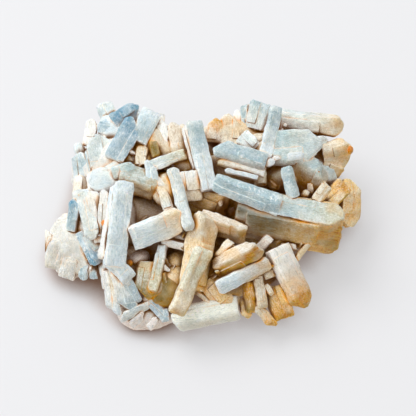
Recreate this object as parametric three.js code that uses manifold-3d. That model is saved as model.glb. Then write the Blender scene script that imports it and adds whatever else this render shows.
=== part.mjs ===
// A hand-sized cluster of blue barite: bladed crystals that grew through each other on a lumpy base
// of massive barite, all of it one natural solid. Millimetres, +Z up.
// The origin is the middle of the small flat spot that the cluster rests on, and the cluster is shown
// from its front, the -Y side.
import * as THREE from "three";
import { mergeVertices } from "three/addons/utils/BufferGeometryUtils.js";
import Module from "manifold-3d";

// The crystals were set out as they are seen from the display side, this many degrees above the horizon.
const DISPLAY_ELEVATION = 60;

// Each crystal: name, root and tip of its long axis, width and thickness of the blade, turn of its
// broad face about the axis in degrees, and how its tip ends. A root or tip is seen from the display
// side: distance across from the middle, distance up the view, and height above the ground.
const CRYSTALS = [
  ["top_left_knob", [-28.8, 30, 16], [-30.3, 34.5, 20], 5, 4, 20, "square"],
  ["top_left_deep", [-27, 28, 20], [-19.5, 33, 23], 6, 5, 10, "chisel"],
  ["left_fan_plate", [-25, 26.2, 20], [-32.3, 27, 18], 5, 3, -10, "round"],
  ["pale_upper_blade", [-20.1, 22.2, 25], [-15.3, 31.8, 27], 6.4, 2.5, -10, "square"],
  ["deep_long_blade", [-27.3, 16.8, 24], [-20.1, 29.1, 26], 6.2, 3.4, 0, "slant"],
  ["slate_plate", [-25, 16, 21], [-19, 23, 21.5], 5, 2.5, 30, "square"],
  ["grey_plate", [-29.7, 15, 20], [-31.5, 25, 22], 9, 3, 5, "chisel"],
  ["left_knob", [-37, 18.5, 13], [-38.3, 22.5, 17], 3.5, 2.5, 0, "round"],
  ["left_white_plate", [-36, 8, 12], [-36.8, 19.5, 19], 6, 2.5, -25, "chisel"],
  ["left_cream_low", [-36.5, 2.5, 13], [-36.3, 13, 15], 6.5, 3, 0, "chisel"],
  ["left_cream_mid", [-31, 6, 18], [-32, 14, 19], 7, 3, 0, "round"],
  ["left_thin_edge", [-33.3, 12, 17], [-35.2, 20, 20.5], 4, 1.2, 70, "slant"],
  ["left_cream_plate", [-35, 21, 15], [-33.3, 29.4, 17], 4.5, 2, -15, "chisel"],
  ["left_cross_blade", [-25, 15.3, 23], [-34, 8.4, 19], 4.5, 3, 20, "square"],
  ["teal_cap", [-27.5, 12.5, 24], [-20.5, 15, 25], 4.5, 3, 10, "round"],
  ["teal_thick_blade", [-25, 11.5, 22], [-12, 7.5, 22], 7.5, 5.5, 40, "chisel"],
  ["flecked_piece", [-16, 11.5, 23.5], [-11, 7, 24], 4, 2.5, 0, "slant"],
  ["white_wedge_a", [-31, -8, 16], [-33.3, 7.5, 23], 3.6, 2.5, 25, "square"],
  ["white_wedge_b", [-30, -8, 17], [-29.4, 8.4, 25], 4, 2.5, -20, "chisel"],
  ["white_wedge_c", [-30.8, -12.5, 20], [-27.8, 4, 25], 2.2, 2, 0, "slant"],
  ["pale_column", [-28, -4, 22], [-26.7, 9.5, 27], 3, 2.5, 20, "chisel"],
  ["big_vertical_blade", [-26.7, -15, 19], [-23.55, 10.5, 31], 6.4, 4, 12, "square"],
  ["left_blue_a", [-39.6, -4.5, 14], [-38.6, 5.3, 20], 3.2, 2.5, 10, "chisel"],
  ["left_blue_b", [-35.8, 6, 19], [-33, -7.2, 19], 5, 3.2, 0, "round"],
  ["left_grey_top", [-36.5, 3, 17], [-37, 8, 20], 5, 3, -15, "square"],
  ["lower_left_blade", [-37, -5, 13.5], [-31.5, -14.7, 12], 3.8, 2.5, -10, "round"],
  ["lower_left_teal", [-33.6, -5.5, 14], [-30.5, -11, 14], 4.5, 2, 0, "square"],
  ["matrix_blue_a", [-35, -12, 9], [-36.5, -19.6, 7.5], 3.5, 2, 0, "chisel"],
  ["matrix_blue_b", [-34, -12, 9], [-33, -19, 7.5], 3, 2, 10, "square"],
  ["striated_fan", [-25.5, -15.3, 15], [-22.2, -29.4, 8], 6.6, 3, -15, "slant"],
  ["fan_step_a", [-28.8, -16.2, 14.5], [-27.6, -28.5, 8.5], 2.6, 2.2, -35, "slant"],
  ["fan_step_b", [-29.7, -15.6, 13], [-29.1, -22.2, 10], 2.6, 2, -30, "broken"],
  ["fan_step_c", [-27.3, -15.9, 15.5], [-25.8, -30, 8], 2.4, 2.2, -30, "slant"],
  ["fan_right", [-24, -19, 14], [-19.5, -26.5, 9.5], 5, 2.5, 15, "slant"],
  ["under_big_blade", [-28, -13, 18.5], [-21.6, -19.2, 16], 4.6, 3, 10, "square"],
  ["tan_striated_plate", [-15.9, -13.8, 15], [-17.4, -25.2, 11], 8.4, 2.5, 5, "chisel"],
  ["narrow_pale_a", [-15.3, -22.5, 14], [-12, -7.8, 18.5], 3.4, 2.4, -15, "square"],
  ["olive_plate", [-12.9, -17, 14], [-10.2, -27.3, 8], 4, 3, 30, "chisel"],
  ["front_slate_blade", [-18, -23.5, 10.5], [-10.8, -30.6, 7.5], 3.4, 2.2, 20, "square"],
  ["front_grey_blade", [-16, -26, 9.5], [-25.4, -30.8, 7], 3, 2, -20, "slant"],
  ["front_blue_end", [-12, -27.5, 9], [-11.4, -31.8, 7.5], 3, 2, 0, "square"],
  ["bottom_curved_blade", [10.2, -27.3, 11], [-9.9, -30.9, 9], 6.6, 4, 32, "round"],
  ["front_blade", [1.2, -9.9, 21], [-7.8, -30.3, 13], 5.6, 3.5, -12, "square"],
  ["ridge_blade", [-3.6, -22, 14], [0.4, 1.2, 24], 8, 6, 45, "square"],
  ["thick_white_edge", [-0.9, -0.9, 20], [12.6, -5.7, 20], 8.4, 3.2, 50, "square"],
  ["little_cube", [8.2, 0.2, 16], [8.1, 3, 18], 2.2, 2.2, 30, "broken"],
  ["diagonal_blade", [22.8, 3.15, 27], [2.4, 10.6, 30], 6, 4.5, -22, "square"],
  ["right_block", [9.6, 0.9, 20], [41.1, -5.1, 17], 13, 9, 44, "square"],
  ["blue_top_blade", [18.6, 15.7, 26.5], [2.8, 20.7, 28.5], 5.2, 4.7, 38, "slant"],
  ["white_underlayer", [18.3, 13.2, 24.5], [3.6, 17.4, 26], 5, 3.5, 38, "slant"],
  ["centre_blade", [1.5, 7.5, 24], [-3, 29, 31], 4.9, 3.2, 15, "square"],
  ["cream_long", [-0.5, 7.5, 22], [-5.6, 27.5, 27.5], 3, 2.5, -15, "chisel"],
  ["cream_plate", [-3.6, 4.5, 21], [-4.8, 13.5, 26], 7.2, 4, 10, "square"],
  ["cream_back_a", [-7, 14, 21], [-9, 28.6, 25.5], 4.8, 3, 10, "chisel"],
  ["cream_back_b", [-5.2, 15, 21], [-6, 28.4, 25], 2.6, 2.5, -20, "slant"],
  ["cream_back_c", [-12.5, 17, 21], [-13, 29.5, 24.5], 5, 3, -15, "chisel"],
  ["cream_back_d", [-14, 26, 22], [-13.5, 31.2, 24], 4, 2, 30, "square"],
  ["grey_cross", [-16.8, 14.4, 25], [-5.2, 18.8, 26], 4, 3, 0, "square"],
  ["pale_chunk", [-15.5, 10, 24], [-16.2, 17, 26.5], 4, 2.5, 10, "slant"],
  ["olive_small", [-14.4, 17.5, 24], [-15.2, 22.6, 26], 2.6, 2, 20, "broken"],
  ["cream_small", [-19, 15, 23], [-18.4, 22.2, 24], 4, 2.5, -10, "chisel"],
  ["crossing_long", [-9.3, 13.8, 26], [-4.2, -4.5, 26.5], 3.6, 3, 10, "round"],
  ["crossing_short", [-12.6, 8.7, 24], [-9.9, 0.3, 24], 3.4, 3, 0, "square"],
  ["centre_left_block", [-22.5, -6.6, 22], [-5.4, -1.2, 25], 7.4, 5, 18, "round"],
  ["small_pink_a", [-12.8, -7.5, 19], [-5.2, -9.3, 19], 2.6, 2, 20, "broken"],
  ["small_pink_b", [-9, -5.5, 20], [-3.4, -6.8, 20], 2, 1.6, 20, "broken"],
  ["back_blue_narrow", [12.8, 24, 20], [12.2, 33.8, 23.5], 3, 2.5, -20, "square"],
  ["back_block", [15, 26, 21], [17.3, 34.9, 24.5], 6, 4, -10, "square"],
  ["back_gold", [3.5, 22, 20], [4, 29.8, 23], 6, 3, 10, "chisel"],
  ["back_cream", [7.5, 21, 20], [8, 31, 22.5], 6.5, 3, 0, "chisel"],
  ["back_white", [10.4, 23, 19], [10.6, 32.4, 22], 3.5, 2.5, 0, "slant"],
  ["back_grey", [15.5, 20, 23.5], [11, 24.5, 25], 5, 2.5, 0, "square"],
  ["long_cross_blade", [17.9, 16.5, 25], [22, 33.2, 31], 4.3, 2.5, 10, "square"],
  ["back_right_bar", [22.5, 29, 22], [42.3, 26.8, 21], 6.4, 5, 15, "round"],
  ["rounded_plate", [20.4, 20.1, 24.5], [35.4, 21, 26], 11, 4.5, -8, "round"],
  ["chip_a", [25, 17.6, 28.5], [30.2, 18.3, 28.5], 2.8, 1.6, 0, "round"],
  ["lower_right_plate", [28.5, 7.2, 15], [33.9, 17.4, 25], 11, 5, 0, "round"],
  ["small_vertical", [27, 5.5, 24], [24.2, 15, 29], 3.6, 2.8, -30, "square"],
  ["right_tan_block", [35.3, 17.2, 18], [45.2, 20, 17], 9.5, 5, 20, "chisel"],
  ["right_cream_plate", [34.5, 14.5, 17], [42, 12.5, 13], 6, 4, 20, "slant"],
  ["right_grey_small", [33.8, 22, 21], [37.8, 22.6, 21], 4, 3, 0, "chisel"],
  ["right_most_plate", [43.2, -3.4, 9], [43.6, 11.4, 16], 7.5, 5, 22, "double"],
  ["cream_end_block", [33.5, 4.5, 22], [37.3, 9.8, 25], 3.6, 3, -10, "square"],
  ["cream_cube", [29.5, 5.7, 21], [31.2, 7.7, 22.5], 2, 1.8, 20, "broken"],
  ["rust_plate", [37, 4, 16], [42.5, 9.5, 17.5], 6, 3, 0, "square"],
  ["bright_thick_blade", [4, -15.6, 17], [16.6, -9.2, 25], 6, 4.6, 45, "square"],
  ["lower_bright_blade", [4, -21.4, 17.5], [19.9, -13.6, 20], 4.6, 3, 10, "square"],
  ["small_slanted", [4.2, -12.6, 18.5], [8.2, -7.3, 21.5], 2.6, 2.2, -20, "broken"],
  ["right_pitted", [21.5, -9.5, 19], [30, -27.5, 10], 7.5, 5.5, -28, "round"],
  ["bottom_vertical", [16, -18, 15.5], [17.6, -28, 11], 3.2, 2.4, -15, "square"],
  ["bottom_wedge", [15.3, -26, 10.5], [21, -33.3, 7], 3.2, 2.5, 15, "slant"],
  ["bottom_tan_side", [13.5, -19, 14], [14.8, -29, 9], 4, 3, -40, "square"],
  ["bottom_right_plate", [20.5, -21, 11.5], [24, -31, 6.5], 7, 3.5, 10, "square"],
  ["bottom_small", [11.8, -24.5, 10], [13, -31, 7], 3.2, 2.2, -10, "chisel"],
  ["stick_a", [27.3, -13, 15], [31.8, -7.8, 18], 2.2, 1.8, 20, "broken"],
  ["stick_b", [23, -8.8, 16.5], [28, -9.2, 17], 2, 1.5, 0, "broken"],
  ["pink_stub", [15.9, -10.2, 15.5], [20, -6, 19.5], 3, 2, 0, "square"],
  ["gold_stub", [18, -18, 15], [21.5, -16.5, 16], 2.4, 1.8, 0, "broken"],
  ["white_stub", [18.6, -20.5, 14], [20.6, -23.6, 13.5], 1.8, 1.5, 0, "broken"],
  ["tan_layer_a", [0.5, -19.5, 14.5], [7.6, -28, 10.5], 6, 2.5, 10, "square"],
  ["gold_layer", [2, -16, 15], [6, -23.5, 13], 5, 3, 0, "square"],
  ["shadow_plate", [-3.6, 6.6, 20], [7.2, 2.4, 18.5], 6.4, 3, 25, "square"],
  ["sage_inner", [17, 9, 22], [16.5, 15, 25.5], 4, 3, 0, "square"],
  ["olive_inner", [12.5, 10, 22], [17, 14, 24], 4, 2, 0, "slant"],
  ["thin_ledge", [16, 11.2, 27], [5.5, 14, 29], 2, 1.5, 20, "slant"],
];

// Lumps of the massive base: name, centre and radii, both along X, Y and Z.
const LUMPS = [
  ["left_mass", [-20, -4, 7], [20, 21, 9], 1],
  ["right_mass", [18, 1, 6.5], [22, 18, 8], 1],
  ["middle_mass", [0, -3, 6.5], [15, 13, 8], 1],
  ["front_mass", [4, -18, 5], [21, 13, 6.5], 1],
  ["back_mass", [-2, 9, 7.5], [28, 10, 9.5], 1],
  ["left_cream_lump", [-38, -13.9, 6], [9.5, 10.5, 7.5], 2],
  ["front_cream_lump", [-17, -36, 3.5], [9, 5, 4], 2],
  ["left_back_lump", [-31, 8, 8], [9, 12, 8], 1],
  ["right_side_lump", [32, 3, 6], [9, 11, 7.5], 1],
  ["upper_left_fill", [-24.6, 8.5, 16.5], [12, 8.5, 7], 1],
  ["upper_middle_fill", [-11.4, 12.1, 17.5], [12, 7, 7], 1],
];

// A crystal at least this wide, with its middle higher than this, stands on a stem that grew up from
// the base behind it.
const STEM_FROM = 11;
const STEM_WIDE = 6.4;

// These smaller crystals stand on stems too, or they would not reach the base.
const ALSO_STEMMED = [
  "pale_chunk",
  "cream_end_block",
  "small_vertical",
  "thin_ledge",
  "cream_cube",
  "chip_a",
  "top_left_knob",
  "top_left_deep",
  "olive_small",
  "back_grey",
];
const STEM_FOOT_HEIGHT = 4;
const STEM_FRONT = -26;
const STEM_BACK = 15;
const STEM_INWARD = 0.92;
const STEM_WIDEST = 11;

// The rim blades lean out of the sides and back of the base, where the display side hides them, in a
// low and a high row.
const RIM_COUNT = 19;
const RIM_START = -22;
const RIM_STEP = 11.4;
const RIM_CENTRE = new THREE.Vector3(0, -3, 0);
const RIM_RADII = [34, 25];

// The cluster rests on the ground where its base is cut off flat.
const GROUND = 0;
const BELOW_GROUND = 60;

const wasm = await Module();
wasm.setup();

const elevation = THREE.MathUtils.degToRad(DISPLAY_ELEVATION);
const towardsViewer = new THREE.Vector3(0, -Math.cos(elevation), Math.sin(elevation));

// The point in the part's frame that is seen at (across, up) at that height.
function seenAt([across, up, height]) {
  const depth = (up - height * Math.cos(elevation)) / Math.sin(elevation);
  return new THREE.Vector3(across, depth, height);
}

// A three.js geometry as a solid that can be joined and cut.
function solidOf(geometry) {
  geometry.deleteAttribute("normal");
  geometry.deleteAttribute("uv");
  const merged = mergeVertices(geometry, 1e-4);
  const mesh = new wasm.Mesh({
    numProp: 3,
    vertProperties: merged.attributes.position.array,
    triVerts: new Uint32Array(merged.index.array),
  });
  return new wasm.Manifold(mesh);
}

// The flat outline of a blade that lies along +Y from its root at 0, with the corners of its tip cut
// in one of the named ways, or broken off straight.
function bladeOutline(length, wide, end) {
  const half = wide / 2;
  const cut = Math.min(length, wide);
  const bothEnds = end === "double";
  const root = bothEnds
    ? [[-half, 0.35 * cut], [-0.2 * half, 0], [0.25 * half, 0], [half, 0.4 * cut]]
    : [[-half, 0], [half, 0]];
  const tips = {
    chisel: [[half, -0.55 * cut], [0.3 * half, 0], [-0.25 * half, 0], [-half, -0.45 * cut]],
    slant: [[half, -0.7 * cut], [-0.5 * half, 0], [-half, -0.15 * cut]],
    square: [[half, -0.12 * cut], [0.88 * half, 0], [-0.85 * half, 0], [-half, -0.1 * cut]],
    double: [[half, -0.5 * cut], [0.3 * half, 0], [-0.4 * half, 0], [-half, -0.2 * cut]],
    broken: [[half, 0], [-half, 0]],
    round: [
      [half, -0.45 * cut],
      [0.75 * half, -0.14 * cut],
      [0.3 * half, 0],
      [-0.35 * half, 0],
      [-0.78 * half, -0.16 * cut],
      [-half, -0.45 * cut],
    ],
  };
  const tip = tips[end].map(([x, back]) => [x, length + back]);
  return new THREE.Shape([...root, ...tip].map(([x, y]) => new THREE.Vector2(x, y)));
}

// One bladed crystal from root to tip, with its broad face turned by roll from the display side.
function bladeSolid(root, tip, wide, thick, roll, end) {
  const axis = tip.clone().sub(root);
  const length = axis.length();
  axis.normalize();
  const face = towardsViewer.clone().addScaledVector(axis, -towardsViewer.dot(axis)).normalize();
  face.applyAxisAngle(axis, THREE.MathUtils.degToRad(roll));
  const across = axis.clone().cross(face);
  const outline = bladeOutline(length, wide, end);
  const geometry = new THREE.ExtrudeGeometry(outline, { depth: thick, bevelEnabled: false });
  geometry.translate(0, 0, -thick / 2);
  geometry.applyMatrix4(new THREE.Matrix4().makeBasis(across, axis, face).setPosition(root));
  return solidOf(geometry);
}

// The stem under a high crystal: a broken blade that runs down into the base behind it.
function stemSolid(root, tip, wide, roll, index) {
  const top = root.clone().lerp(tip, 0.45);
  const tilted = THREE.MathUtils.degToRad(roll);
  top.addScaledVector(towardsViewer, -0.3 * wide * Math.abs(Math.sin(tilted)));
  const behind = (top.z - STEM_FOOT_HEIGHT) / Math.tan(elevation);
  const footDepth = THREE.MathUtils.clamp(top.y + behind, STEM_FRONT, STEM_BACK);
  const foot = new THREE.Vector3(STEM_INWARD * top.x, footDepth, STEM_FOOT_HEIGHT);
  const along = tip.clone().sub(root);
  const stemWide = Math.min(0.55 * along.length(), STEM_WIDEST);
  const stemThick = Math.max(0.6 * wide * Math.abs(Math.cos(tilted)), 1.6);
  const stemAxis = top.clone().sub(foot).normalize();
  const face = along.clone().normalize().cross(stemAxis).normalize();
  const plain = towardsViewer.clone().addScaledVector(stemAxis, -towardsViewer.dot(stemAxis));
  const turn = plain.length() < 1e-3 ? 0 : signedAngle(plain.normalize(), face, stemAxis);
  const lean = 4 * Math.sin(2.4 * index);
  return bladeSolid(foot, top, stemWide, stemThick, turn + lean, "broken");
}

// The angle in degrees that turns a onto b about the axis.
function signedAngle(a, b, axis) {
  return THREE.MathUtils.radToDeg(Math.atan2(a.clone().cross(b).dot(axis), a.dot(b)));
}

// A blade of the rim, leaning outwards at its own height and slope.
function rimSolid(index) {
  const angle = THREE.MathUtils.degToRad(RIM_START + RIM_STEP * index);
  const high = index % 2;
  const wave = Math.sin(3.7 * index);
  const outward = new THREE.Vector3(RIM_RADII[0] * Math.cos(angle), RIM_RADII[1] * Math.sin(angle), 0);
  const reach = 1.06 + 0.08 * Math.sin(5.1 * index) - 0.1 * high;
  const root = RIM_CENTRE.clone().addScaledVector(outward, 0.5).setZ(6 + 4 * high);
  const tip = RIM_CENTRE.clone().addScaledVector(outward, reach).setZ(7 + 7 * high + 2 * wave);
  const ends = ["chisel", "slant", "square"];
  const roll = 40 * Math.sin(2.3 * index);
  return bladeSolid(root, tip, 7 + 2 * wave, 3.2, roll, ends[index % ends.length]);
}

// A rough lump of the massive base.
function lumpSolid(centre, radii, detail) {
  const geometry = new THREE.IcosahedronGeometry(1, detail);
  const position = geometry.attributes.position;
  const point = new THREE.Vector3();
  for (let i = 0; i < position.count; i += 1) {
    point.fromBufferAttribute(position, i);
    const rough = Math.sin(5 * point.x + 3 * point.y) * Math.cos(4 * point.z - 6 * point.y);
    point.multiplyScalar(1 + 0.06 * rough);
    position.setXYZ(i, point.x, point.y, point.z);
  }
  geometry.scale(...radii);
  geometry.translate(...centre);
  return solidOf(geometry);
}

const pieces = LUMPS.map(([, centre, radii, detail]) => lumpSolid(centre, radii, detail));
CRYSTALS.forEach(([name, rootSeen, tipSeen, wide, thick, roll, end], index) => {
  const root = seenAt(rootSeen);
  const tip = seenAt(tipSeen);
  pieces.push(bladeSolid(root, tip, wide, thick, roll, end));
  const stemmed = wide >= STEM_WIDE || ALSO_STEMMED.includes(name);
  if (stemmed && (root.z + tip.z) / 2 > STEM_FROM) pieces.push(stemSolid(root, tip, wide, roll, index));
});
for (let index = 0; index < RIM_COUNT; index += 1) pieces.push(rimSolid(index));

const ground = new THREE.BoxGeometry(4 * BELOW_GROUND, 4 * BELOW_GROUND, BELOW_GROUND);
ground.translate(0, 0, GROUND - BELOW_GROUND / 2);
const grown = pieces.reduce((joined, piece) => joined.add(piece)).subtract(solidOf(ground));

// The joined solid as a three.js geometry.
function geometryOf(solid) {
  const { numProp, vertProperties, triVerts } = solid.getMesh();
  const points = [];
  for (let i = 0; i < vertProperties.length; i += numProp) points.push(...vertProperties.slice(i, i + 3));
  const geometry = new THREE.BufferGeometry();
  geometry.setAttribute("position", new THREE.Float32BufferAttribute(points, 3));
  geometry.setIndex([...triVerts]);
  geometry.computeVertexNormals();
  return geometry;
}

const barite = new THREE.Mesh(
  geometryOf(grown),
  new THREE.MeshStandardMaterial({ color: 0xb9c9cd, roughness: 0.45, metalness: 0 }),
);
barite.name = "barite_cluster";

const cluster = new THREE.Group();
cluster.add(barite);
export default cluster;
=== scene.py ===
import math
import random
import bpy
import numpy as np
from mathutils import Matrix, Vector


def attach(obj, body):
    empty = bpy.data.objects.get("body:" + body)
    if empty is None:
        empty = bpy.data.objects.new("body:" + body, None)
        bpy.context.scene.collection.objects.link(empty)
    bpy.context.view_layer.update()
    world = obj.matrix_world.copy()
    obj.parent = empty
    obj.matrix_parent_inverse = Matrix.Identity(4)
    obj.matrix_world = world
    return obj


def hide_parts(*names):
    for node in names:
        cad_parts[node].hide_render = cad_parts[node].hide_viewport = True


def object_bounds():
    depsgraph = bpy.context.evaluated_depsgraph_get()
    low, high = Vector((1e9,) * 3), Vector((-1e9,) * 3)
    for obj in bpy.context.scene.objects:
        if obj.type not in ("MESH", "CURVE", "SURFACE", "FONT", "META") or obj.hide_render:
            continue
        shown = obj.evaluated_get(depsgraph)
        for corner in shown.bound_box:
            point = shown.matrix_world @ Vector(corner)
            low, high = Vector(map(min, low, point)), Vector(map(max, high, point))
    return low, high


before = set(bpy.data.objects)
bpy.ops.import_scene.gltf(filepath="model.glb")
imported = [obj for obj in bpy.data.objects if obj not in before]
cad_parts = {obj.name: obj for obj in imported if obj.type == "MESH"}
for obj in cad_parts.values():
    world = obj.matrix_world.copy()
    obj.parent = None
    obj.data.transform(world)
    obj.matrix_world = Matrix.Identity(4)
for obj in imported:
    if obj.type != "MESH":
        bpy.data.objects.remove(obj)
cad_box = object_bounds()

random.seed(11)

# The massive base: rounded lumps of barite and limonite-stained matrix that the crystals
# stand on, and more of them in the hollows between the crystals. They grew together with the
# crystals. A row holds a name, a centre and radii in millimetres, and a tint.
LUMPS = [
    ["left_mass", [-20, -4, 7], [20, 21, 9], "cream"],
    ["right_mass", [18, 1, 6.5], [22, 18, 8], "tan"],
    ["middle_mass", [0, -3, 6.5], [15, 13, 8], "olive"],
    ["front_mass", [4, -18, 5], [21, 13, 6.5], "tan"],
    ["back_mass", [-2, 9, 7.5], [28, 10, 9.5], "cream"],
    ["left_cream_lump", [-38, -13.9, 6], [9.5, 10.5, 7.5], "shell"],
    ["front_cream_lump", [-17, -36, 3.5], [9, 5, 4], "pink"],
    ["left_back_lump", [-31, 8, 8], [9, 12, 8], "white"],
    ["right_side_lump", [32, 3, 6], [9, 11, 7.5], "tan"],
    ["upper_left_fill", [-24.6, 8.5, 16.5], [12, 8.5, 7], "white"],
    ["top_left_fill", [-23.4, 20.6, 16], [9, 6, 6.5], "ice"],
    ["left_fill", [-31.8, -6.2, 12], [8, 10, 6.5], "white"],
    ["behind_blades_fill", [-26.1, -11.1, 14.5], [6.5, 9, 7], "white"],
    ["upper_middle_fill", [-11.4, 12.1, 17.5], [12, 7, 7], "cream"],
    ["upper_right_fill", [19.2, 11, 17.5], [15, 7, 7], "cream"],
    ["right_fill", [31.5, 6.5, 14], [9, 7, 6], "teal"],
    ["right_crevice_fill", [22.2, 2.3, 17], [7, 5, 5.5], "sage"],
    ["middle_crevice_fill", [7.2, 5.9, 18.5], [9, 4.5, 5.5], "cream"],
    ["cream_seam_fill", [-16.2, 13.3, 19], [8, 6, 6.5], "cream"],
    ["back_haze_fill", [9.3, 17.6, 17.5], [10, 5, 5.5], "cream"],
    ["lower_left_fill", [-23.4, -22.9, 8.5], [8, 8, 6], "ice"],
    ["olive_floor", [-12, -31.2, 9], [6, 6, 5], "olive"],
    ["cracked_rock", [-8.1, -23.2, 12.5], [3.5, 3, 3], "tan"],
    ["smooth_rock", [-8.7, -27.5, 11], [4.5, 4, 3.5], "tan"],
    ["pink_rock", [-19.5, -22.3, 13.5], [3.5, 3, 2.6], "pink"],
    ["small_rock", [-21.9, -20.6, 14], [2.5, 2, 2], "cream"],
    ["brown_swelling", [1.5, -3.7, 16], [7, 5, 4.5], "tan"],
    ["lower_rust", [-22.3, -24.9, 15], [1.1, 1.1, 1.1], "orange"],
    ["tip_rust", [43.9, 11.7, 19.6], [1, 1.2, 1.6], "orange"],
    ["wedge_rust", [-30, -15.7, 23], [0.7, 1, 1], "orange"],
    ["crossing_fill", [-10.8, -3.4, 21.5], [5, 6, 4], "cream"],
    ["upper_left_seam_fill", [-28.8, 0.8, 18.5], [6, 5, 5], "ice"],
    ["brown_seam_fill", [-18.3, 7.1, 19.5], [5, 4, 4], "tan"],
    ["pink_seam_fill", [-5.7, 5.5, 20.5], [5, 4, 4], "cream"],
]
# The body colour of each kind of barite, and how far limonite stains it, from 0 to 1. The olive and umber
# tints are partly painted shade, given to ends and sides that lie in shade.
TINTS = {
    "deep": (92, 136, 160),
    "blue": (160, 182, 189),
    "ice": (214, 227, 231),
    "frost": (220, 232, 236),
    "grey": (206, 216, 215),
    "teal": (176, 198, 201),
    "lagoon": (168, 184, 180),
    "slate": (154, 176, 187),
    "sage": (202, 206, 186),
    "moss": (234, 236, 224),
    "olive": (112, 100, 48),
    "umber": (80, 64, 6),
    "shell": (222, 220, 212),
    "white": (238, 236, 229),
    "pink": (230, 217, 209),
    "cream": (230, 218, 194),
    "amber": (228, 220, 206),
    "tan": (250, 216, 160),
    "gold": (228, 170, 84),
    "orange": (240, 128, 16),
}
STAINS = {
    "deep": 0.05,
    "blue": 0.2,
    "ice": 0.2,
    "frost": 0.12,
    "grey": 0.25,
    "teal": 0.3,
    "lagoon": 0.7,
    "slate": 0.2,
    "sage": 0.7,
    "moss": 0.25,
    "olive": 0.85,
    "umber": 0.25,
    "shell": 0.3,
    "white": 0.3,
    "pink": 0.25,
    "cream": 0.55,
    "amber": 0.8,
    "tan": 0.75,
    "gold": 1.0,
    "orange": 1.0,
}
TONE_RANGE = (0.93, 1.05)
TIP_TINT_FROM = 0.35
TIP_TINT_OVER = 0.5
MOST_GRAIN_SHIFT = 40
LARGE_LUMP = 6.6
SMALL_LUMP = 1.5
ROCKY_SHARE = 0.45
DRUSE_SHARE = -0.07
GRIT_SHARE = 0.06
MOST_GRIT = 0.4


def linear(colour):
    """A colour of 0 to 255 as amounts of light."""
    return [(c / 255) ** 2.2 for c in colour]


def corners_of(mesh):
    """The point that each corner of each face stands on."""
    corners = np.empty(len(mesh.loops), dtype=np.int32)
    mesh.loops.foreach_get("vertex_index", corners)
    return corners


def paint(piece, tint, tip_tint, edges, along):
    """Stores the colour from root to tip, and where the edges and the stain are."""
    mesh = piece.data
    corners = corners_of(mesh)
    change = np.clip((along[corners] - TIP_TINT_FROM) / TIP_TINT_OVER, 0, 1)[:, None]
    colour = np.ones((len(corners), 4), dtype=np.float32)
    start = linear(TINTS[tint])
    colour[:, :3] = start + change * (np.array(linear(TINTS[tip_tint])) - start)
    colour[:, :3] *= random.uniform(*TONE_RANGE)
    layer = mesh.color_attributes.new("tint", "FLOAT_COLOR", "CORNER")
    layer.data.foreach_set("color", colour.ravel())
    trait = np.ones((len(corners), 4), dtype=np.float32)
    trait[:, 0] = edges[corners]
    trait[:, 1] = STAINS[tint] + change[:, 0] * (STAINS[tip_tint] - STAINS[tint])
    trait[:, 2] = random.random()
    layer = mesh.color_attributes.new("trait", "FLOAT_COLOR", "CORNER")
    layer.data.foreach_set("color", trait.ravel())


def points_of(piece):
    """The places of a piece's points."""
    points = np.empty(3 * len(piece.data.vertices), dtype=np.float32)
    piece.data.vertices.foreach_get("co", points)
    return points.reshape(-1, 3)


def grain_map(piece, across, along):
    """The map that the fibres follow, shifted so that no two pieces have the same ones."""
    mesh = piece.data
    corners = corners_of(mesh)
    for layer in list(mesh.uv_layers):
        mesh.uv_layers.remove(layer)
    layer = mesh.uv_layers.new(name="grain")
    shift = MOST_GRAIN_SHIFT * random.random()
    flat = np.stack([across[corners] + shift, along[corners] + 2 * shift], axis=1)
    layer.data.foreach_set("uv", flat.astype(np.float32).ravel())


def noise_texture(name, size, depth):
    texture = bpy.data.textures.new(name, "CLOUDS")
    texture.noise_scale = size
    texture.noise_depth = depth
    return texture


def displace(piece, texture, strength, coordinates, direction="NORMAL", group=""):
    """Moves a piece's surface in and out by a texture."""
    bulge = piece.modifiers.new("bulge", "DISPLACE")
    bulge.texture = texture
    bulge.strength = strength
    bulge.mid_level = 0.5
    bulge.direction = direction
    bulge.vertex_group = group
    bulge.texture_coords = coordinates
    if coordinates == "UV":
        bulge.uv_layer = "grain"
    bpy.ops.object.modifier_apply(modifier=bulge.name)


rocky = noise_texture("rocky", 6, 3)
gritty = noise_texture("gritty", 1.3, 2)
druse = bpy.data.textures.new("druse", "VORONOI")
druse.noise_scale = 3.2
druse.distance_metric = "DISTANCE"


def lump(name, centre, radii, tint):
    """One rounded lump, its surface uneven in three sizes of relief."""
    bpy.ops.object.select_all(action="DESELECT")
    size = min(radii)
    fine = 5 if size > LARGE_LUMP else 4 if size > SMALL_LUMP else 3
    bpy.ops.mesh.primitive_ico_sphere_add(subdivisions=fine, radius=1, scale=radii)
    piece = bpy.context.object
    piece.name = name
    bpy.ops.object.transform_apply(location=False, rotation=False, scale=True)
    piece.data.transform(Matrix.Translation(centre))
    points = points_of(piece)
    grain_map(piece, points[:, 0], points[:, 1] + points[:, 2])
    displace(piece, rocky, ROCKY_SHARE * size, "LOCAL")
    displace(piece, druse, DRUSE_SHARE * size, "LOCAL")
    displace(piece, gritty, min(GRIT_SHARE * size, MOST_GRIT), "LOCAL")
    flat = np.zeros(len(points), dtype=np.float32)
    paint(piece, tint, tint, flat, flat)
    return piece


pieces = [lump(*row) for row in LUMPS]

# The crystals: flat blades and blocks of barite, pale blue where they are clean and tan to olive where
# limonite stains them; the olive and umber of some shaded ends and sides is painted shade. Each grew from
# its root to its tip, through its neighbours.
ELEVATION = math.radians(60)
FACING = Vector((0, -math.cos(ELEVATION), math.sin(ELEVATION)))
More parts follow.
